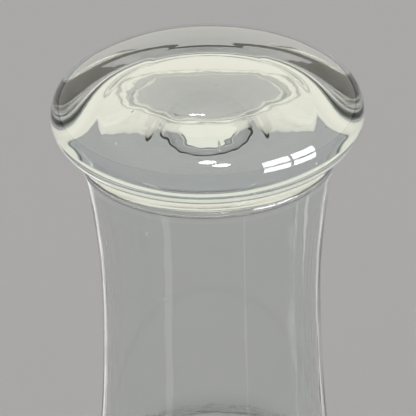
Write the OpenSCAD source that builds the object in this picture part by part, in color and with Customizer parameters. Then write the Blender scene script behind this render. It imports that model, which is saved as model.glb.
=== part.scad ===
/* [Lid] */
// Diameter of the lid
lid_d = 100; // [92:1:110]
// Height of the lid's edge above its widest line
lid_crown = 16.3; // [12:0.1:18]
// Height of the lid's edge below its widest line
lid_belly = 11.5; // [9:0.1:14]
// How far the rounding of the upper edge reaches in from the side
crown_w = 32; // [20:1:36]
// How far the rounding of the lower edge reaches in from the side
belly_w = 12.4; // [9:0.2:14]
// Power of the upper edge's curve, where 2 is a true ellipse
crown_power = 2.4; // [1.8:0.1:2.6]
// Power of the lower edge's curve, where 2 is a true ellipse
belly_power = 1.7; // [1.5:0.1:2.2]
// Depth of the shallow dish that grinding left in the middle of the top
dish_depth = 0.7; // [0.1:0.1:1]
// Thickness of the glass over the edge of the recess in the underside
lid_solid = 26.5; // [22:0.1:28]
// Radius of the domed ceiling of the recess
recess_r = 28.8; // [22:0.2:30]
// Height of the dome of the ceiling
recess_dome = 2.1; // [0.5:0.1:3]
// Height of the rounded corner of the recess
recess_corner = 14; // [8:0.5:16]
// Power of the corner's curve, where 2 is a true ellipse
recess_power = 2.6; // [1.8:0.1:3]

/* [Ground joint] */
// Height of the plain shoulder between the lid's underside and the ground cone
joint_drop = 2.1; // [1.2:0.1:3]
// Height of the ground cone, from its outer edge down to its inner edge
joint_h = 3.4; // [2:0.2:4]
// Gap between the two ground faces, left for the film of joint grease
joint_gap = 0.05; // [0.02:0.01:0.1]
// Flat that is ground off each edge of the joint
joint_flat = 0.4; // [0.2:0.1:0.6]

/* [Neck] */
// Radius of the neck outside at its waist
neck_r = 36.8; // [35:0.2:38]
// Depth of the waist below the lid's widest line
waist_depth = 63; // [56:1:70]
// Radius of the curve from the waist up to the rim
flare_up_r = 270; // [240:10:400]
// Radius of the curve from the waist down to the shoulder
flare_down_r = 560; // [450:10:800]
// Depth below the lid's underside at which the thick rim has thinned to the wall
rim_depth = 13.5; // [10:0.5:18]

/* [Bulb] */
// Height of the whole flask with its lid on
total_h = 300; // [290:1:320]
// Radius of the bulb outside
bulb_r = 85; // [82:1:88]
// Radius of the flat foot that the bulb stands on
foot_r = 50; // [46:1:52]
// Radius of the rounded edge round the foot
foot_edge_r = 10; // [7:0.5:14]
// Radius of the hollow curve between the neck and the bulb
shoulder_r = 25; // [20:1:28]
// Height above the shoulder at which the neck is sealed to the bulb
seam_rise = 4; // [2:0.5:10]
// Thickness of the blown wall
wall = 2.4; // [1.8:0.1:3]

/* [Beak] */
// Angle above level at which the beak leaves the bulb
root_angle = 34; // [28:1:38]
// Length of the root, from the bulb's surface to the seam with the beak
root_l = 34; // [30:1:44]
// Angle between the root's side and its middle line
root_spread = 7; // [4:0.5:9]
// Radius of the hollow curve between the bulb and the root
root_fillet_r = 13; // [10:0.5:16]
// Radius of the beak outside in its bend
beak_r = 24; // [21:0.5:26]
// Radius of the bend along the middle of the beak
bend_r = 62; // [54:1:70]
// Angle below level at which the long taper runs down
taper_angle = 30; // [26:1:33]
// Length of the long taper
taper_l = 196; // [170:2:204]
// Radius of the plain end of the beak outside
tip_r = 11; // [10:0.5:13]
// Length of the plain end of the beak
tip_l = 26; // [20:1:32]
// Thickness of the beak's wall
beak_wall = 2.2; // [1.8:0.1:2.4]

/* [Hidden] */
$fn = 128;

glass_tint = [0.86, 0.92, 0.9, 0.35];
// Length by which one cut runs past the face that it opens
overrun = 1;
// How far the beak's root runs on inside the bulb's wall
root_sink = 3;
// How far the root's hollow curve ends proud of the bulb's skin
root_proud = 0.15;
// Height of the fused bead where two lengths of the beak's tube join
seam_bead = 0.1;

// Levels of the lid and the ground joint, from the foot up
lid_r = lid_d / 2;
lid_mid_z = total_h - lid_crown;
lid_under_z = lid_mid_z - lid_belly;
ceiling_z = total_h - lid_solid;
joint_top_z = lid_under_z - joint_drop;
joint_low_z = joint_top_z - joint_h;
waist_z = lid_mid_z - waist_depth;
rim_z = lid_under_z - rim_depth;

// Centres of the curves in the flask's outline, as [radius, height]
bulb_c = [0, foot_edge_r + sqrt(pow(bulb_r - foot_edge_r, 2) - pow(foot_r, 2))];
foot_c = [foot_r, foot_edge_r];
flare_up_c = [neck_r + flare_up_r, waist_z];
flare_down_c = [neck_r + flare_down_r, waist_z];
shoulder_c = meeting(bulb_c, bulb_r + shoulder_r, flare_down_c, flare_down_r - shoulder_r);
seam_z = shoulder_c.y + seam_rise;

// Radii at the rim, the joint and the recess
rim_r = flare_r(joint_top_z);
hollow_r = flare_r(rim_z) - wall;
seat_r = recess_at(joint_low_z);

// Places along the beak
root_reach = bulb_r + root_l;
bend_turn = root_angle + taper_angle;

function heading(a) = [cos(a), sin(a)];
function bearing(from, to) = atan2(to.y - from.y, to.x - from.x);

// Points of an arc about c from angle a to angle b
function arc(c, r, a, b, steps) =
    [for (i = [0:steps]) c + r * heading(a + (b - a) * i / steps)];

// Points of a rounded corner with its own width, height and power
function corner(c, w, h, power, a, b, steps = 16) =
    [
        for (i = [0:steps])
        let (t = a + (b - a) * i / steps)
        c + [
            w * sign(cos(t)) * pow(abs(cos(t)), 2 / power),
            h * sign(sin(t)) * pow(abs(sin(t)), 2 / power)
        ]
    ];

// Points of a shallow arc from the edge [r, z] in to the axis, where it has risen by rise
function crowned(r, z, rise, steps = 6) =
    let (ball = (r * r / rise + rise) / 2)
    [
        for (i = [0:steps])
        let (x = r * (1 - i / steps))
        [x, z + rise - ball + sign(rise) * sqrt(ball * ball - x * x)]
    ];

// The point at distance ra from a and rb from b, to the left of the way from a to b
function meeting(a, ra, b, rb) =
    let (
        apart = norm(b - a),
        along = (ra * ra - rb * rb + apart * apart) / (2 * apart),
        aside = sqrt(ra * ra - along * along),
        way = (b - a) / apart
    )
    a + along * way + aside * [-way.y, way.x];

// Radius of the neck outside at height z, above the waist
function flare_r(z) = flare_up_c.x - sqrt(pow(flare_up_r, 2) - pow(z - waist_z, 2));

// Radius of the recess's rounded corner at height z
function recess_at(z) =
    let (drop = 1 - (ceiling_z - z) / recess_corner)
    recess_r + (hollow_r - recess_r) * pow(1 - pow(drop, recess_power), 1 / recess_power);

// Angle on the lower flare, t inside its skin, at height z
function flare_angle(t, z) = 180 + asin((waist_z - z) / (flare_down_r + t));

// Outline of the bulb, t inside its skin, from the middle of the foot up to the seam
function bulb_line(t) =
    let (
        to_foot = bearing(bulb_c, foot_c),
        to_shoulder = bearing(bulb_c, shoulder_c),
        from_neck = 360 + bearing(flare_down_c, shoulder_c)
    )
    concat(
        [[0, t]],
        arc(foot_c, foot_edge_r - t, -90, to_foot, 8),
        arc(bulb_c, bulb_r - t, to_foot, to_shoulder, 36),
        arc(shoulder_c, shoulder_r + t, to_shoulder + 180, from_neck, 10),
        [flare_down_c + (flare_down_r + t) * heading(flare_angle(t, seam_z))]
    );

// Outline of the neck, t inside its skin, from the seam up to height top_z
function neck_line(t, top_z) =
    concat(
        arc(flare_down_c, flare_down_r + t, flare_angle(t, seam_z), 180, 8),
        arc(flare_up_c, flare_up_r + t, 180, 180 - asin((top_z - waist_z) / (flare_up_r + t)), 8)
    );

// Rounded corner of the recess, from the neck's hollow side up to the ceiling
function recess_line() =
    corner(
        [recess_r, ceiling_z - recess_corner],
        hollow_r - recess_r, recess_corner, recess_power, 0, 90
    );

// Outline of the beak's root about its own middle line, t inside its skin
function root_line(t, past) =
    let (
        end = [root_reach, beak_r - t],
        along = [-cos(root_spread), sin(root_spread)],
        out = [sin(root_spread), cos(root_spread)],
        fillet = root_fillet_r + t,
        skin_r = bulb_r - t + root_proud,
        start = end + fillet * out,
        reach = -start * along,
        run = reach - sqrt(pow(reach, 2) - start * start + pow(skin_r + fillet, 2)),
        fillet_c = start + run * along,
        bulb_side = fillet_c * skin_r / norm(fillet_c),
        sunk = bulb_side * (1 - root_sink / skin_r)
    )
    concat(
        [[sunk.x, 0], sunk],
        arc(fillet_c, fillet, bearing(fillet_c, [0, 0]), bearing(fillet_c, fillet_c - out), 10),
        [end + past * [1, -tan(root_spread)], [root_reach + past, 0]]
    );

// Turned solid of the root, with its middle line along +X
module root_turning(t, past)
    rotate([0, 90, 0])
        rotate_extrude()
            polygon([for (p = root_line(t, past)) [p.y, p.x]]);

// Places what is drawn along +X on the root's middle line
module along_root()
    translate([0, 0, bulb_c.y])
        rotate([0, -root_angle, 0])
            children();

// Solid of the bend, from the top of its circle round to the right
module bend_turning(t)
    rotate([0, 0, 90 - bend_turn])
        rotate_extrude(angle = bend_turn)
            translate([bend_r, 0])
                circle(r = beak_r - t);

// Solid of the long taper and the plain end, along +X
module taper_turning(t, past)
    rotate([0, 90, 0]) {
        sphere(r = beak_r - t + seam_bead);
        cylinder(h = taper_l, r1 = beak_r - t, r2 = tip_r - t);
        translate([0, 0, taper_l]) {
            sphere(r = tip_r - t + seam_bead);
            cylinder(h = tip_l + past, r = tip_r - t);
        }
    }

// Solid of the whole beak from its seam on, t inside its skin and drawn past its open end
module beak_solid(t, past)
    along_root()
        translate([root_reach, 0, -bend_r])
            rotate([90, 0, 0]) {
                bend_turning(t);
                rotate([0, 0, -bend_turn])
                    translate([0, bend_r, 0])
                        taper_turning(t, past);
            }

// Blown bulb with its flat foot, its shoulder and the root of the beak
module bulb() {
    hollow = bulb_line(wall);
    hollow_top = hollow[len(hollow) - 1];
    color(glass_tint)
        difference() {
            union() {
                rotate_extrude()
                    polygon(concat(bulb_line(0), [[0, seam_z]]));
                along_root()
                    root_turning(0, 0);
            }
            rotate_extrude()
                polygon(concat(
                    hollow,
                    [hollow_top + [0, overrun], [0, hollow_top.y + overrun]]
                ));
            along_root()
                root_turning(beak_wall, overrun);
        }
}

// Waisted neck, thickened at its rim, where the ground cone is cut
module neck() {
    seat_top_z = joint_top_z - joint_gap;
    seat_low_z = joint_low_z - joint_gap;
    hollow = concat(
        neck_line(wall, rim_z),
        [for (p = recess_line()) if (p.y > rim_z && p.y < seat_low_z - 2 * joint_flat) p]
    );
    color(glass_tint)
        rotate_extrude()
            polygon(concat(
                neck_line(0, seat_top_z - joint_flat),
                [
                    [rim_r - joint_flat, seat_top_z],
                    [seat_r + joint_flat, seat_low_z],
                    [seat_r, seat_low_z - joint_flat]
                ],
                [for (i = [len(hollow) - 1:-1:0]) hollow[i]]
            ));
}

// Bent beak: one tube, drawn down to a plain end
module beak()
    color(glass_tint)
        difference() {
            beak_solid(0, 0);
            beak_solid(beak_wall, overrun);
        }

// Heavy lid: thick disc with rounded edge, ground cone and shallow recess underneath
module lid() {
    top_r = lid_r - crown_w;
    side_x = lid_r - belly_w;
    belly_to = -acos(pow(max(rim_r - side_x, 0) / belly_w, belly_power / 2));
    top = crowned(top_r, total_h, -dish_depth);
    color(glass_tint)
        rotate_extrude()
            polygon(concat(
                [for (i = [len(top) - 1:-1:1]) top[i]],
                corner([top_r, lid_mid_z], crown_w, lid_crown, crown_power, 90, 0),
                corner([side_x, lid_mid_z], belly_w, lid_belly, belly_power, 0, belly_to),
                [
                    [rim_r, lid_under_z],
                    [rim_r, joint_top_z + joint_flat],
                    [rim_r - joint_flat, joint_top_z],
                    [seat_r + joint_flat, joint_low_z],
                    [seat_r, joint_low_z + joint_flat]
                ],
                [for (p = recess_line()) if (p.y > joint_low_z + 2 * joint_flat && p.x > recess_r) p],
                crowned(recess_r, ceiling_z, recess_dome)
            ));
}

bulb();
neck();
beak();
lid();
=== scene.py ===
import math

import bmesh
import bpy
from mathutils import Matrix, Quaternion, Vector


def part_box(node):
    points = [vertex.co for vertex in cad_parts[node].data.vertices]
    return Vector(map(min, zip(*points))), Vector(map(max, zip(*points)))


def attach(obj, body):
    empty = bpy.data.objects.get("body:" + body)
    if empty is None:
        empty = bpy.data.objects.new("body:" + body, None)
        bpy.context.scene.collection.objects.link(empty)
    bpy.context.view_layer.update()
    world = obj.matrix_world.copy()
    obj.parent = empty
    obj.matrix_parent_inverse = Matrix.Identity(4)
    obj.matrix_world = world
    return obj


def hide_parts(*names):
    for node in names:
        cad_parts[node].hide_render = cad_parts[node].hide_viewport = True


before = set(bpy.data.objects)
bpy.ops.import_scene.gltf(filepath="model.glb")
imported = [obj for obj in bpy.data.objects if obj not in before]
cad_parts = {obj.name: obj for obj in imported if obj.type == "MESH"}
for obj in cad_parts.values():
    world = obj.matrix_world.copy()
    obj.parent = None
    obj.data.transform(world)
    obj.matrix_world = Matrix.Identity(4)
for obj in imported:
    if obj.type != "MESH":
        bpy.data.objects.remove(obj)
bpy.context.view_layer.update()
MM = 0.001

# Retort flask: a blown bulb with a waisted neck and a bent beak, closed by a heavy ground lid.
# The sizes are those of the CAD model; the glass is turned and drawn again over them, finer.

# ---------------------------------------------------------------------------------------------
# Lid. One thick gather of clear glass, pressed flat, its edge rolled round by hand and a shallow
# domed recess left underneath. A cone is ground round the recess, and it seats in the neck's rim.

lid_low, lid_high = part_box("lid")
LID_R = (lid_high.x - lid_low.x) / 2
LID_TOP = lid_high.z
CROWN_H, CROWN_W, CROWN_POWER = 16.3 * MM, 32 * MM, 2.4
BELLY_H, BELLY_W, BELLY_POWER = 11.5 * MM, 12.4 * MM, 1.7
DISH = 0.7 * MM
SOLID = 26.5 * MM
RECESS_R, RECESS_DOME = 28.8 * MM, 2.1 * MM
CORNER_H, CORNER_POWER = 14 * MM, 2.6
JOINT_DROP, JOINT_H, JOINT_FLAT, JOINT_GAP = 2.1 * MM, 3.4 * MM, 0.4 * MM, 0.05 * MM
RIM_DEPTH = 13.5 * MM

NECK_R = 36.8 * MM
WAIST_DEPTH = 63 * MM
FLARE_UP_R, FLARE_DOWN_R = 270 * MM, 560 * MM
WALL = 2.4 * MM

SKIN_WAVES, HOLLOW_RIPPLES, HAND_SEED = 34.0, 90.0, 4.0
LID_SEGMENTS, LID_UNEVENNESS = 360, (0.3 * MM, 0.12 * MM)

LID_MID = LID_TOP - CROWN_H
LID_UNDER = LID_MID - BELLY_H
CEILING = LID_TOP - SOLID
JOINT_TOP = LID_UNDER - JOINT_DROP
JOINT_LOW = JOINT_TOP - JOINT_H
WAIST = LID_MID - WAIST_DEPTH
RIM = LID_UNDER - RIM_DEPTH


def heading(angle):
    """A step of one along that angle, in degrees, in the plane of radius and height."""
    return Vector((math.cos(math.radians(angle)), math.sin(math.radians(angle))))


def arc(centre, radius, start, end, steps):
    """Points of an arc about centre, from one angle to another."""
    return [centre + radius * heading(start + (end - start) * i / steps) for i in range(steps + 1)]


def corner(centre, width, height, power, start, end, steps=60):
    """Points of a rounded corner with its own width, height and power, where 2 is an ellipse."""
    points = []
    for i in range(steps + 1):
        way = heading(start + (end - start) * i / steps)
        x, y = (math.copysign(abs(part) ** (2 / power), part) for part in way)
        points.append(centre + Vector((width * x, height * y)))
    return points


def crowned(radius, level, rise, steps=36):
    """Points of a shallow arc from its edge in to the axis, where it has risen by rise."""
    ball = (radius * radius / rise + rise) / 2
    points = []
    for i in range(steps + 1):
        x = radius * (1 - i / steps)
        drop = math.sqrt(ball * ball - x * x)
        points.append(Vector((x, level + rise - ball + math.copysign(drop, rise))))
    return points


def flare_radius(level):
    """Radius of the neck's skin above its waist."""
    return NECK_R + FLARE_UP_R - math.sqrt(FLARE_UP_R ** 2 - (level - WAIST) ** 2)


RIM_R = flare_radius(JOINT_TOP)
HOLLOW_R = flare_radius(RIM) - WALL
recess = corner(
    Vector((RECESS_R, CEILING - CORNER_H)), HOLLOW_R - RECESS_R, CORNER_H, CORNER_POWER, 0, 90
)
seat_drop = 1 - (CEILING - JOINT_LOW) / CORNER_H
SEAT_R = RECESS_R + (HOLLOW_R - RECESS_R) * (1 - seat_drop ** CORNER_POWER) ** (1 / CORNER_POWER)

belly_side = LID_R - BELLY_W
belly_end = -math.degrees(math.acos(((RIM_R - belly_side) / BELLY_W) ** (BELLY_POWER / 2)))
lid_skin = (
    crowned(LID_R - CROWN_W, LID_TOP, -DISH)[:0:-1]
    + corner(Vector((LID_R - CROWN_W, LID_MID)), CROWN_W, CROWN_H, CROWN_POWER, 90, 0)
    + corner(Vector((belly_side, LID_MID)), BELLY_W, BELLY_H, BELLY_POWER, 0, belly_end)[1:]
    + [Vector((RIM_R, JOINT_TOP + JOINT_FLAT))]
)
lid_joint = [Vector((RIM_R - JOINT_FLAT, JOINT_TOP)), Vector((SEAT_R + JOINT_FLAT, JOINT_LOW))]
lid_hollow = (
    [Vector((SEAT_R, JOINT_LOW + JOINT_FLAT))]
    + [p for p in recess if p.y > JOINT_LOW + 2 * JOINT_FLAT and p.x > RECESS_R]
    + crowned(RECESS_R, CEILING, RECESS_DOME)
)


def node_tree_maker(tree):
    """Returns a function that adds a node of a type, sets its settings, then its sockets.

    A socket goes by its name, or by i and its number.
    """

    def add(kind, settings=None, **sockets):
        node = tree.nodes.new(kind)
        for name, value in (settings or {}).items():
            setattr(node, name, value)
        for name, value in sockets.items():
            numbered = name[0] == "i" and name[1:].isdigit()
            socket = node.inputs[int(name[1:]) if numbered else name]
            if isinstance(value, bpy.types.NodeSocket):
                tree.links.new(value, socket)
            else:
                socket.default_value = value
        return node

    return add


class Field:
    """A value in a node tree that Python arithmetic can be written on."""

    def __init__(self, add, socket):
        self.add, self.socket = add, socket

    @staticmethod
    def parts(add, vector):
        """The three parts of a vector."""
        return [Field(add, part) for part in add("ShaderNodeSeparateXYZ", i0=vector).outputs]

    def combine(self, operation, other=None, swapped=False):
        """The outcome of one Math operation on this value, and another if it takes one."""
        values = [self.socket] if other is None else [self.socket, getattr(other, "socket", other)]
        sockets = {f"i{i}": value for i, value in enumerate(values[::-1] if swapped else values)}
        return Field(self.add, self.add("ShaderNodeMath", {"operation": operation}, **sockets).outputs[0])

    def __add__(self, other):
        return self.combine("ADD", other)

    def __mul__(self, other):
        return self.combine("MULTIPLY", other)

    def __sub__(self, other):
        return self.combine("SUBTRACT", other)

    def __rsub__(self, other):
        return self.combine("SUBTRACT", other, swapped=True)

    def above(self, low, high):
        """0 below low, 1 above high, and smooth between."""
        settings = {"interpolation_type": "SMOOTHSTEP"}
        sockets = {"Value": self.socket, "From Min": low, "From Max": high}
        return Field(self.add, self.add("ShaderNodeMapRange", settings, **sockets).outputs[0])

    __radd__, __rmul__ = __add__, __mul__


def turning_tree():
    """Geometry Nodes that turn a profile of points round Z into glass with a hand-worked skin."""
    tree = bpy.data.node_groups.new("turned_glass", "GeometryNodeTree")
    face = tree.interface
    for name, kind in (
        ("Profile", "Geometry"), ("Segments", "Int"), ("Wave depth", "Float"), ("Wave count", "Float"),
        ("Ripple depth", "Float"), ("Ripple count", "Float"), ("Seed", "Float"), ("Glass", "Material"),
    ):
        face.new_socket(name, in_out="INPUT", socket_type="NodeSocket" + kind)
    face.new_socket("Turned", in_out="OUTPUT", socket_type="NodeSocketGeometry")
    add = node_tree_maker(tree)
    given = add("NodeGroupInput").outputs
    size = add("GeometryNodeAttributeDomainSize", i0=given["Profile"]).outputs["Point Count"]
    columns = (Field(add, given["Segments"]) + 1.0).socket
    grid = add("GeometryNodeMeshGrid", i0=1.0, i1=1.0, i2=columns, i3=size).outputs["Mesh"]
    at = add("GeometryNodeInputPosition").outputs[0]
    across, along, _ = Field.parts(add, at)
    turned = across * math.tau + math.pi
    row = ((along + 0.5) * (Field(add, size) - 1.0)).combine("ROUND").socket
    place = add(
        "GeometryNodeSampleIndex", {"data_type": "FLOAT_VECTOR"},
        Geometry=given["Profile"], Value=at, Index=row,
    )
    radius, _, level = Field.parts(add, place.outputs[0])
    x = radius * turned.combine("COSINE")
    y = radius * turned.combine("SINE")
    spun = add("ShaderNodeCombineXYZ", i0=x.socket, i1=y.socket, i2=level.socket).outputs[0]
    marked = grid
    for mark in ("ground", "hollow"):
        on_profile = add("GeometryNodeInputNamedAttribute", {"data_type": "FLOAT"}, Name=mark)
        here = add(
            "GeometryNodeSampleIndex", {"data_type": "FLOAT"},
            Geometry=given["Profile"], Value=on_profile.outputs[0], Index=row,
        )
        marked = add(
            "GeometryNodeStoreNamedAttribute", {"data_type": "FLOAT"},
            Geometry=marked, Name=mark, Value=here.outputs[0],
        ).outputs[0]
    shaped = add("GeometryNodeSetPosition", i0=marked, Position=spun).outputs[0]
    closed = add("GeometryNodeMergeByDistance", i0=shaped, Distance=1e-7).outputs[0]
    in_hollow = add("GeometryNodeInputNamedAttribute", {"data_type": "FLOAT"}, Name="hollow")
    ripple_depth = Field(add, in_hollow.outputs[0]) * Field(add, given["Ripple depth"])
    worked = closed
    for count, depth in (
        (given["Wave count"], given["Wave depth"]), (given["Ripple count"], ripple_depth.socket),
    ):
        waves = add(
            "ShaderNodeTexNoise", {"noise_dimensions": "4D"}, W=given["Seed"], Scale=count, Detail=1.0
        ).outputs["Color"]
        middle = add("ShaderNodeVectorMath", {"operation": "SUBTRACT"}, i0=waves, i1=(0.5,) * 3)
        push = add("ShaderNodeVectorMath", {"operation": "SCALE"}, i0=middle.outputs[0], Scale=depth)
        worked = add("GeometryNodeSetPosition", i0=worked, Offset=push.outputs[0]).outputs[0]
    smooth = add("GeometryNodeSetShadeSmooth", i0=worked).outputs[0]
    real = add("GeometryNodeRealizeInstances", i0=smooth).outputs[0]
    glazed = add("GeometryNodeSetMaterial", i0=real, Material=given["Glass"]).outputs[0]
    add("NodeGroupOutput", i0=glazed)
    return tree


turned_glass = turning_tree()


def turn(name, skin, joint, hollow, segments, unevenness, glass):
    """Turns skin, joint and hollow, one outline, into a mesh with faces pointing out of the glass."""
    outline = bpy.data.meshes.new(name)
    profile = skin + joint + hollow
    edges = [(i, i + 1) for i in range(len(profile) - 1)]
    outline.from_pydata([(p.x, 0, p.y) for p in profile], edges, [])
    past_joint = len(skin) + len(joint)
    ground = outline.attributes.new("ground", "FLOAT", "POINT")
    inside = outline.attributes.new("hollow", "FLOAT", "POINT")
    for i in range(len(profile)):
        ground.data[i].value = float(len(skin) <= i < past_joint)
        inside.data[i].value = float(i > past_joint)
    piece = bpy.data.objects.new(name, outline)
    bpy.context.collection.objects.link(piece)
    turner = piece.modifiers.new("turning", "NODES")
    turner.node_group = turned_glass
    values = {
        "Segments": segments, "Wave depth": unevenness[0], "Wave count": SKIN_WAVES,
        "Ripple depth": unevenness[1], "Ripple count": HOLLOW_RIPPLES, "Seed": HAND_SEED, "Glass": glass,
    }
    for item in turned_glass.interface.items_tree:
        if item.name in values:
            turner[item.identifier] = values[item.name]
    piece.update_tag()
    depsgraph = bpy.context.evaluated_depsgraph_get()
    made = bpy.data.meshes.new_from_object(piece.evaluated_get(depsgraph))
    piece.modifiers.remove(turner)
    piece.data = made
    made.name = name
    made.materials.clear()
    made.materials.append(glass)
    made.polygons.foreach_set("material_index", [0] * len(made.polygons))
    shell = bmesh.new()
    shell.from_mesh(made)
    if shell.calc_volume(signed=True) < 0:
        bmesh.ops.reverse_faces(shell, faces=shell.faces)
    shell.to_mesh(made)
    shell.free()
    return piece


GLASS_IOR = 1.5
FROSTING, GREASE_CLEARING = 0.4, 0.85
SMEAR_ROUGHNESS, SMEAR_FROM, SMEAR_TO = 0.03, 0.6, 0.75
BODY_TINT, BODY_DENSITY = (0.82, 0.92, 0.93, 1), 5.0
DRIFT_SCALE, RIPPLE_SCALE, SMEAR_SCALE = 14.0, 60.0, 36.0
SMEAR_STRETCH = (1, 1, 0.6)


def pattern(add, place, scale, detail, stretch=(1, 1, 1)):
    """Cloudy noise, about 0.5 on the whole, drawn out along an axis where stretch is below 1."""
    mapped = add("ShaderNodeMapping", i0=place, Scale=stretch).outputs[0]
    return Field(add, add("ShaderNodeTexNoise", i0=mapped, Scale=scale, Detail=detail).outputs[0])


def clear_glass(name, tints, marks_of_tool, depths):
    """Clear glass: a drifting tint, marks of the tool, slow ripples, smears and a frosted joint."""
    material = bpy.data.materials.new(name)
    material.use_nodes = True
    material.node_tree.nodes.clear()
    add = node_tree_maker(material.node_tree)
    place = add("ShaderNodeTexCoord").outputs["Object"]
    drift = pattern(add, place, DRIFT_SCALE, 1.0)
    tool_marks = marks_of_tool(add, place)
    ripples = pattern(add, place, RIPPLE_SCALE, 1.0)
    smears = pattern(add, place, SMEAR_SCALE, 3.0, SMEAR_STRETCH).above(SMEAR_FROM, SMEAR_TO)
    ground = Field(add, add("ShaderNodeAttribute", {"attribute_name": "ground"}).outputs["Fac"])
    colour = add("ShaderNodeMix", {"data_type": "RGBA"}, Factor=drift.socket, i6=tints[0], i7=tints[1])
    bump = add(
        "ShaderNodeBump", Strength=1.0, Distance=1.0,
        Height=(tool_marks * depths[0] + ripples * depths[1]).socket,
    )
    glass = add("ShaderNodeBsdfPrincipled", **{
        "Base Color": colour.outputs[2],
        "Roughness": (smears * SMEAR_ROUGHNESS + ground * FROSTING).socket,
        "Alpha": (1 - ground * GREASE_CLEARING).socket,
        "Normal": bump.outputs[0],
        "IOR": GLASS_IOR,
        "Transmission Weight": 1.0,
    })
    body = add("ShaderNodeVolumeAbsorption", Color=BODY_TINT, Density=BODY_DENSITY)
    add("ShaderNodeOutputMaterial", Surface=glass.outputs[0], Volume=body.outputs[0])
    return material


LID_TINTS = (0.985, 0.995, 0.985, 1), (0.97, 0.99, 0.975, 1)
TURNED_SCALE, TURNED_DEPTH, RIPPLE_DEPTH = 130.0, 0.002 * MM, 0.01 * MM


def turned_marks(add, place):
    """Faint rings left by turning the hot lid against a block."""
    rings = add(
        "ShaderNodeTexWave", {"wave_type": "RINGS", "rings_direction": "Z"},
        i0=place, Scale=TURNED_SCALE, Distortion=3.0, Detail=2.0,
    )
    return Field(add, rings.outputs[1])


lid_glass = clear_glass("lid_glass", LID_TINTS, turned_marks, (TURNED_DEPTH, RIPPLE_DEPTH))
SEED_BUBBLES = (
    (3, -6, 12, 0.35), (-24, 10, 8, 0.3), (21, 14, 15, 0.25), (-9, -32, 13, 0.28), (33, -19, 16, 0.3),
)


def trap_bubbles(piece):
    """Sets small air bubbles in the glass: x, y, depth below the top and radius, all in mm."""
    glass = bmesh.new()
    glass.from_mesh(piece.data)
    for x, y, depth, radius in SEED_BUBBLES:
        at = Matrix.Translation((x * MM, y * MM, LID_TOP - depth * MM))
        made = bmesh.ops.create_icosphere(glass, subdivisions=2, radius=radius * MM, matrix=at)
        faces = {face for vert in made["verts"] for face in vert.link_faces}
        bmesh.ops.reverse_faces(glass, faces=list(faces))
        for face in faces:
            face.smooth = True
    glass.to_mesh(piece.data)
    glass.free()


lid = turn("lid_glass", lid_skin, lid_joint, lid_hollow, LID_SEGMENTS, LID_UNEVENNESS, lid_glass)
trap_bubbles(lid)
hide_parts("lid")
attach(lid, "lid")

# ---------------------------------------------------------------------------------------------
# Neck and bulb. Blown as one thin wall: a waisted neck with a thickened rim, where the cone for
# the lid is ground, flowing over a shoulder into the bulb and its flat foot.

BULB_R = 85 * MM
FOOT_R, FOOT_EDGE_R = 50 * MM, 10 * MM
SHOULDER_R = 25 * MM
FLAT_STEPS, EDGE_STEPS, BULB_STEPS, SHOULDER_STEPS, FLARE_STEPS = 8, 12, 44, 16, 18
BULB_Z = FOOT_EDGE_R + math.sqrt((BULB_R - FOOT_EDGE_R) ** 2 - FOOT_R ** 2)

bulb_centre = Vector((0, BULB_Z))
foot_centre = Vector((FOOT_R, FOOT_EDGE_R))
flare_up_centre = Vector((NECK_R + FLARE_UP_R, WAIST))
flare_down_centre = Vector((NECK_R + FLARE_DOWN_R, WAIST))


def meeting(a, from_a, b, from_b):
    """The point at those distances from a and b, to the left of the way from a to b."""
    apart = (b - a).length
    along = (from_a ** 2 - from_b ** 2 + apart ** 2) / (2 * apart)
    aside = math.sqrt(from_a ** 2 - along ** 2)
    way = (b - a) / apart
    return a + along * way + aside * Vector((-way.y, way.x))


def bearing(start, end):
    """Angle of the way from one point to another, from 0 to 360 degrees."""
    return math.degrees(math.atan2(end.y - start.y, end.x - start.x)) % 360


shoulder_centre = meeting(
    bulb_centre, BULB_R + SHOULDER_R, flare_down_centre, FLARE_DOWN_R - SHOULDER_R
)


def wall_line(inset, top):
    """Outline of the blown wall, from the middle of the foot up to the level top."""
    to_foot = bearing(bulb_centre, foot_centre) - 360
    to_shoulder = bearing(bulb_centre, shoulder_centre)
    from_neck = bearing(flare_down_centre, shoulder_centre)
    up_radius = FLARE_UP_R + inset
    to_top = 180 - math.degrees(math.asin((top - WAIST) / up_radius))
    foot_flat = [Vector((FOOT_R * i / FLAT_STEPS, inset)) for i in range(FLAT_STEPS)]
    return (
        foot_flat
        + arc(foot_centre, FOOT_EDGE_R - inset, -90, to_foot, EDGE_STEPS)
        + arc(bulb_centre, BULB_R - inset, to_foot, to_shoulder, BULB_STEPS)[1:]
        + arc(shoulder_centre, SHOULDER_R + inset, to_shoulder + 180, from_neck, SHOULDER_STEPS)[1:]
        + arc(flare_down_centre, FLARE_DOWN_R + inset, from_neck, 180, FLARE_STEPS)[1:]
        + arc(flare_up_centre, up_radius, 180, to_top, FLARE_STEPS)[1:]
    )


SEAT_TOP, SEAT_LOW = JOINT_TOP - JOINT_GAP, JOINT_LOW - JOINT_GAP
flask_joint = [Vector((RIM_R - JOINT_FLAT, SEAT_TOP)), Vector((SEAT_R + JOINT_FLAT, SEAT_LOW))]
flask_hollow = (
    [Vector((SEAT_R, SEAT_LOW - JOINT_FLAT))]
    + [p for p in recess if RIM < p.y < SEAT_LOW - 2 * JOINT_FLAT][::-1]
    + wall_line(WALL, RIM)[::-1]
)
FLASK_SEGMENTS, FLASK_UNEVENNESS = 256, (0.3 * MM, 0.06 * MM)
FLASK_TINTS = (0.935, 0.95, 0.945, 1), (0.915, 0.938, 0.93, 1)
STREAK_SCALE, STREAK_STRETCH, STREAK_DEPTH = 210.0, (1, 1, 0.1), 0.1 * MM


def drawn_streaks(add, place):
    """Cords along the neck, left by drawing the hot tube."""
    return pattern(add, place, STREAK_SCALE, 2.0, STREAK_STRETCH)


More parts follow.
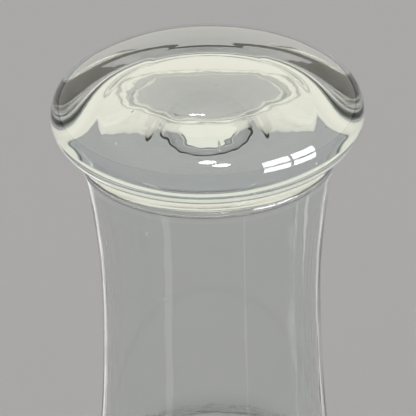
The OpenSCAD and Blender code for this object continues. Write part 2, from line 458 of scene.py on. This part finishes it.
flask_glass = clear_glass("flask_glass", FLASK_TINTS, drawn_streaks, (STREAK_DEPTH, RIPPLE_DEPTH))
flask_skin = wall_line(0, SEAT_TOP - JOINT_FLAT)
flask = turn(
    "flask_glass", flask_skin, flask_joint, flask_hollow, FLASK_SEGMENTS, FLASK_UNEVENNESS, flask_glass
)

# ---------------------------------------------------------------------------------------------
# Beak. A tube sealed to the bulb's upper side, drawn down as it runs: a flared root, a bend over
# the top and a long taper to a plain fire-polished end.

ROOT_ANGLE, ROOT_L, ROOT_SPREAD, ROOT_FILLET_R = 34, 34 * MM, 7, 13 * MM
BEAK_R, BEND_R = 24 * MM, 62 * MM
TAPER_ANGLE, TAPER_L = 30, 196 * MM
TIP_R, TIP_L = 11 * MM, 26 * MM
BEAK_WALL = 2.2 * MM
RING_POINTS, RING_STEP = 96, 3 * MM
FILLET_STEPS, LIP_STEPS, EASE_STEPS = 14, 8, 8
EASE_REACH = 18 * MM
ROOT_BLEND = 1.0

ROOT_REACH = BULB_R + ROOT_L
BEND_L = BEND_R * math.radians(ROOT_ANGLE + TAPER_ANGLE)
TAPER_START = ROOT_REACH + BEND_L
TIP_START = TAPER_START + TAPER_L
BEAK_END = TIP_START + TIP_L

bend_start = bulb_centre + ROOT_REACH * heading(ROOT_ANGLE)
bend_centre = bend_start + BEND_R * heading(ROOT_ANGLE - 90)
bend_end = bend_centre + BEND_R * heading(90 - TAPER_ANGLE)


def middle_line(s):
    """Point and direction, in the upright plane, at that length from the middle of the bulb."""
    if s < ROOT_REACH:
        return bulb_centre + s * heading(ROOT_ANGLE), ROOT_ANGLE
    if s < TAPER_START:
        angle = ROOT_ANGLE - math.degrees((s - ROOT_REACH) / BEND_R)
        return bend_centre + BEND_R * heading(angle + 90), angle
    return bend_end + (s - TAPER_START) * heading(-TAPER_ANGLE), -TAPER_ANGLE


def root_fillet(inset):
    """Hollow curve between bulb and root, as [length along the beak, radius] points."""
    end = Vector((ROOT_REACH, BEAK_R - inset))
    along = Vector((-math.cos(math.radians(ROOT_SPREAD)), math.sin(math.radians(ROOT_SPREAD))))
    out = Vector((along.y, -along.x))
    fillet = ROOT_FILLET_R + inset
    skin = BULB_R - inset
    start = end + fillet * out
    reach = -start.dot(along)
    run = reach - math.sqrt(reach ** 2 - start.dot(start) + (skin + fillet) ** 2)
    centre = start + run * along
    onto_bulb = bearing(centre, Vector((0, 0)))
    return arc(centre, fillet, onto_bulb, bearing(centre, centre - out), FILLET_STEPS)


def skin_radius(s):
    """Radius of the beak's skin past the root's hollow curve, before its corners are eased."""
    if s < ROOT_REACH:
        return BEAK_R + (ROOT_REACH - s) * math.tan(math.radians(ROOT_SPREAD))
    if s < TAPER_START:
        return BEAK_R
    if s < TIP_START:
        return BEAK_R + (TIP_R - BEAK_R) * (s - TAPER_START) / TAPER_L
    return TIP_R


def eased_radius(s, start):
    """The same radius with its corners drawn out smooth, as heat and pull leave them."""
    reach = min(EASE_REACH, s - start, BEAK_END - s)
    steps = range(-EASE_STEPS, EASE_STEPS + 1)
    return sum(skin_radius(s + reach * i / EASE_STEPS) for i in steps) / len(steps)


def beak_rings(inset, end_inset):
    """[length, radius] of each ring, from the bulb's skin to where the end starts to round."""
    rings = root_fillet(inset)
    start = rings[-1].x
    count = round((BEAK_END - BEAK_WALL / 2 - start) / RING_STEP)
    for i in range(1, count + 1):
        s = start + (BEAK_END - BEAK_WALL / 2 - start) * i / count
        thinning = min(1, (s - start) / (ROOT_REACH - start))
        rings.append(Vector((s, eased_radius(s, start) - inset - (end_inset - inset) * thinning)))
    return rings


def end_lip():
    """[length, radius] round the fire-polished end, from the skin to the bore."""
    bead = BEAK_WALL / 2
    centre = Vector((BEAK_END - bead, TIP_R - bead))
    return arc(centre, bead, 90, -90, LIP_STEPS)[1:-1]


def skin_reach(point, inset):
    """Distance from the bulb's middle to the bulb's or the shoulder's skin, towards that point."""
    way = Vector((math.hypot(point.x, point.y), point.z - BULB_Z)).normalized()
    to_shoulder = shoulder_centre - bulb_centre
    if math.atan2(way.y, way.x) < math.atan2(to_shoulder.y, to_shoulder.x):
        return BULB_R - inset
    along = to_shoulder.dot(way)
    return along - math.sqrt(along ** 2 - to_shoulder.length_squared + (SHOULDER_R + inset) ** 2)


def join_beak(piece):
    """Opens the bulb where the root stands, and fuses the beak's skin and bore to its edges."""
    shell = bmesh.new()
    shell.from_mesh(piece.data)
    hollow_mark = shell.verts.layers.float["hollow"]
    root_way = Vector((heading(ROOT_ANGLE).x, 0, heading(ROOT_ANGLE).y))
    centre = Vector((0, 0, BULB_Z))
    skin_rings, bore_rings = beak_rings(0, 0), beak_rings(WALL, BEAK_WALL)
    opening = {}
    for bore, ring in ((False, skin_rings[0]), (True, bore_rings[0])):
        opening[bore] = math.atan2(ring.y, ring.x) + math.radians(ROOT_BLEND)

    def in_bore(vert):
        return vert[hollow_mark] > 0.5

    doomed = []
    for face in shell.faces:
        away = (face.calc_center_median() - centre).angle(root_way)
        if away < opening[in_bore(face.verts[0])]:
            doomed.append(face)
    bmesh.ops.delete(shell, geom=doomed, context="FACES")
    rim_edges = [edge for edge in shell.edges if edge.is_boundary]
    for vert in {vert for edge in rim_edges for vert in edge.verts}:
        flat = vert.co - centre
        flat = (flat - flat.dot(root_way) * root_way).normalized()
        angle = opening[in_bore(vert)]
        way = math.cos(angle) * root_way + math.sin(angle) * flat
        vert.co = centre + skin_reach(centre + way, WALL if in_bore(vert) else 0) * way

    rows = []
    lip = end_lip()
    for number, (s, radius) in enumerate(skin_rings + lip + bore_rings[::-1]):
        bore = number >= len(skin_rings) + len(lip)
        point, angle = middle_line(s)
        up = heading(angle + 90)
        row = []
        for i in range(RING_POINTS):
            across = radius * math.cos(math.tau * i / RING_POINTS)
            aside = radius * math.sin(math.tau * i / RING_POINTS)
            out = Vector((point.x + across * up.x, aside, point.y + across * up.y)) - centre
            if s < ROOT_REACH:
                reach = max(out.length, skin_reach(centre + out, WALL if bore else 0))
                out *= reach / out.length
            vert = shell.verts.new(centre + out)
            vert[hollow_mark] = float(bore)
            row.append(vert)
        rows.append(row)
    for here, there in zip(rows, rows[1:]):
        for i in range(RING_POINTS):
            j = (i + 1) % RING_POINTS
            shell.faces.new((here[i], here[j], there[j], there[i]))
    for bore, row in ((False, rows[0]), (True, rows[-1])):
        end = [shell.edges.get((row[i], row[(i + 1) % RING_POINTS])) for i in range(RING_POINTS)]
        rim = [edge for edge in rim_edges if in_bore(edge.verts[0]) == bore]
        bmesh.ops.bridge_loops(shell, edges=rim + end)
    bmesh.ops.recalc_face_normals(shell, faces=shell.faces)
    if shell.calc_volume(signed=True) < 0:
        bmesh.ops.reverse_faces(shell, faces=shell.faces)
    for face in shell.faces:
        face.smooth = True
    shell.to_mesh(piece.data)
    shell.free()


join_beak(flask)
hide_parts("bulb", "neck", "beak")
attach(flask, "flask")

# ---------------------------------------------------------------------------------------------
# Studio: a wide pale table top, a soft bright sky, a window with four panes, two lamps, a strip
# light and a few white cards close to the flask. The window, lamps and cards only show in the
# glass's gloss. The table lies a hair below the foot, whose blown skin isn't quite flat.

FLOOR_SIZE = 16
FLOOR_GAP = 0.2 * MM
FLOOR_COLOUR = (0.47, 0.475, 0.54, 1)
SKY = (0.86, 0.83, 0.72, 1)
HORIZON, HORIZON_HEIGHT = (0.12, 0.16, 0.17, 1), 0.05

bpy.ops.mesh.primitive_plane_add(size=FLOOR_SIZE, location=(0, 0, -FLOOR_GAP))
floor = bpy.context.object
floor.name = "table_top"
floor_paint = bpy.data.materials.new("table_top")
floor_paint.use_nodes = True
floor_paint.node_tree.nodes.clear()
add = node_tree_maker(floor_paint.node_tree)
matt = add("ShaderNodeBsdfDiffuse", Color=FLOOR_COLOUR)
add("ShaderNodeOutputMaterial", Surface=matt.outputs[0])
floor.data.materials.append(floor_paint)

world = bpy.data.worlds.new("studio")
bpy.context.scene.world = world
world.use_nodes = True
world.node_tree.nodes.clear()
add = node_tree_maker(world.node_tree)
way = add("ShaderNodeTexCoord").outputs["Generated"]
height = Field.parts(add, way)[2]
haze = height.above(0.0, HORIZON_HEIGHT)
sky = add("ShaderNodeMix", {"data_type": "RGBA"}, Factor=haze.socket, i6=HORIZON, i7=SKY)
seen = add("ShaderNodeLightPath").outputs["Is Camera Ray"]
shown = add("ShaderNodeMix", {"data_type": "RGBA"}, Factor=seen, i6=sky.outputs[2], i7=SKY)
light = add("ShaderNodeBackground", Strength=1.0, Color=shown.outputs[2])
add("ShaderNodeOutputWorld", Surface=light.outputs[0])


def reflected_lamp(
    name, turned, rise, distance, width, height, radiance, colour, aim=LID_MID, shape="RECTANGLE"
):
    """A soft lamp that shows only as a reflection, facing the point at the level aim on the axis.

    turned is its bearing from the far side, clockwise from above, and rise its height, in degrees.
    """
    lamp = bpy.data.lights.new(name, "AREA")
    lamp.shape = shape
    lamp.size, lamp.size_y = width, height
    area = width * height * (math.pi / 4 if shape == "ELLIPSE" else 1)
    lamp.energy = radiance * math.pi * area
    lamp.color = colour
    lamp_object = bpy.data.objects.new(name, lamp)
    bpy.context.collection.objects.link(lamp_object)
    level, up = heading(rise)
    ahead, across = level * math.cos(math.radians(turned)), level * math.sin(math.radians(turned))
    way = Vector((across, ahead, up))
    lamp_object.location = Vector((0, 0, aim)) + distance * way
    lamp_object.rotation_euler = way.to_track_quat("Z", "Y").to_euler()
    lamp_object.visible_camera = False
    lamp_object.visible_diffuse = False
    lamp_object.visible_transmission = False
    return lamp_object


WHITE = (1, 0.99, 0.97)
DAYLIGHT = (0.95, 0.95, 1)
WINDOW_TURNED, WINDOW_RISE, WINDOW_AWAY, WINDOW_RADIANCE = 122, 2, 1.3, 18
PANE_STEP, PANE = (0.5, 0.46), (0.45, 0.37)
LAMP_AWAY = 1.6
for column in (-0.5, 0.5):
    for row in (-0.5, 0.5):
        pane = reflected_lamp(
            "pane", WINDOW_TURNED, WINDOW_RISE, WINDOW_AWAY, *PANE, WINDOW_RADIANCE, DAYLIGHT
        )
        offset = Vector((column * PANE_STEP[0], row * PANE_STEP[1], 0))
        pane.location += pane.rotation_euler.to_matrix() @ offset
reflected_lamp("high_lamp", 180, 39.5, LAMP_AWAY, 0.3, 0.28, 30, WHITE, shape="ELLIPSE")
reflected_lamp("low_lamp", 170, 29, LAMP_AWAY, 0.34, 0.28, 30, WHITE, shape="ELLIPSE")
reflected_lamp("back_strip", -2, 48, LAMP_AWAY, 0.07, 0.04, 24, WHITE)
CARD_AWAY, CARD_MIDDLE, CARD_HEIGHT = 0.22, 0.085, 0.16
for card, turned, width, radiance in (
    ("left_card", -38, 0.018, 0.6),
    ("left_wide_card", -39, 0.045, 0.6),
    ("right_card", 42, 0.01, 0.5),
    ("right_wide_card", 43, 0.03, 0.45),
    ("right_far_card", 78, 0.02, 1.3),
    ("front_left_card", -138, 0.03, 1.0),
    ("front_right_card", 148, 0.008, 1.2),
):
    reflected_lamp(card, turned, 0, CARD_AWAY, width, CARD_HEIGHT, radiance, WHITE, CARD_MIDDLE)

# ---------------------------------------------------------------------------------------------
# Camera: close above the lid, looking down past its near edge, tipped a little to the side.
# VIEW_SCALE is the width that a metre at the lid takes on an image IMAGE_WIDTH wide. The lid's
# middle stands LID_ABOVE_MIDDLE above and LID_ASIDE beside the image's middle, on the same scale.

IMAGE_WIDTH = 416
SENSOR_WIDTH = 36
VIEW_RISE = 26.3
VIEW_TIP = 1.3
VIEW_DISTANCE = 0.6
VIEW_SCALE = 3130
LID_ABOVE_MIDDLE = 96
LID_ASIDE = 1.4

lid_middle = Vector((0, 0, LID_MID))
rise_angle = math.radians(VIEW_RISE)
focal = VIEW_SCALE * VIEW_DISTANCE
camera = bpy.data.objects.new("camera", bpy.data.cameras.new("camera"))
bpy.context.collection.objects.link(camera)
camera.data.sensor_width = SENSOR_WIDTH
camera.data.lens = SENSOR_WIDTH * focal / IMAGE_WIDTH
camera.location = lid_middle + VIEW_DISTANCE * Vector((0, -math.cos(rise_angle), math.sin(rise_angle)))
pitch = rise_angle + math.atan(LID_ABOVE_MIDDLE / focal)
yaw = math.atan(LID_ASIDE / focal)
look = Vector((-math.sin(yaw), math.cos(pitch), -math.sin(pitch)))
camera.rotation_mode = "QUATERNION"
camera.rotation_quaternion = Quaternion(look, math.radians(VIEW_TIP)) @ look.to_track_quat("-Z", "Y")
bpy.context.scene.camera = camera
bpy.context.scene.view_settings.view_transform = "Standard"
bpy.context.scene.cycles.glossy_bounces = 6
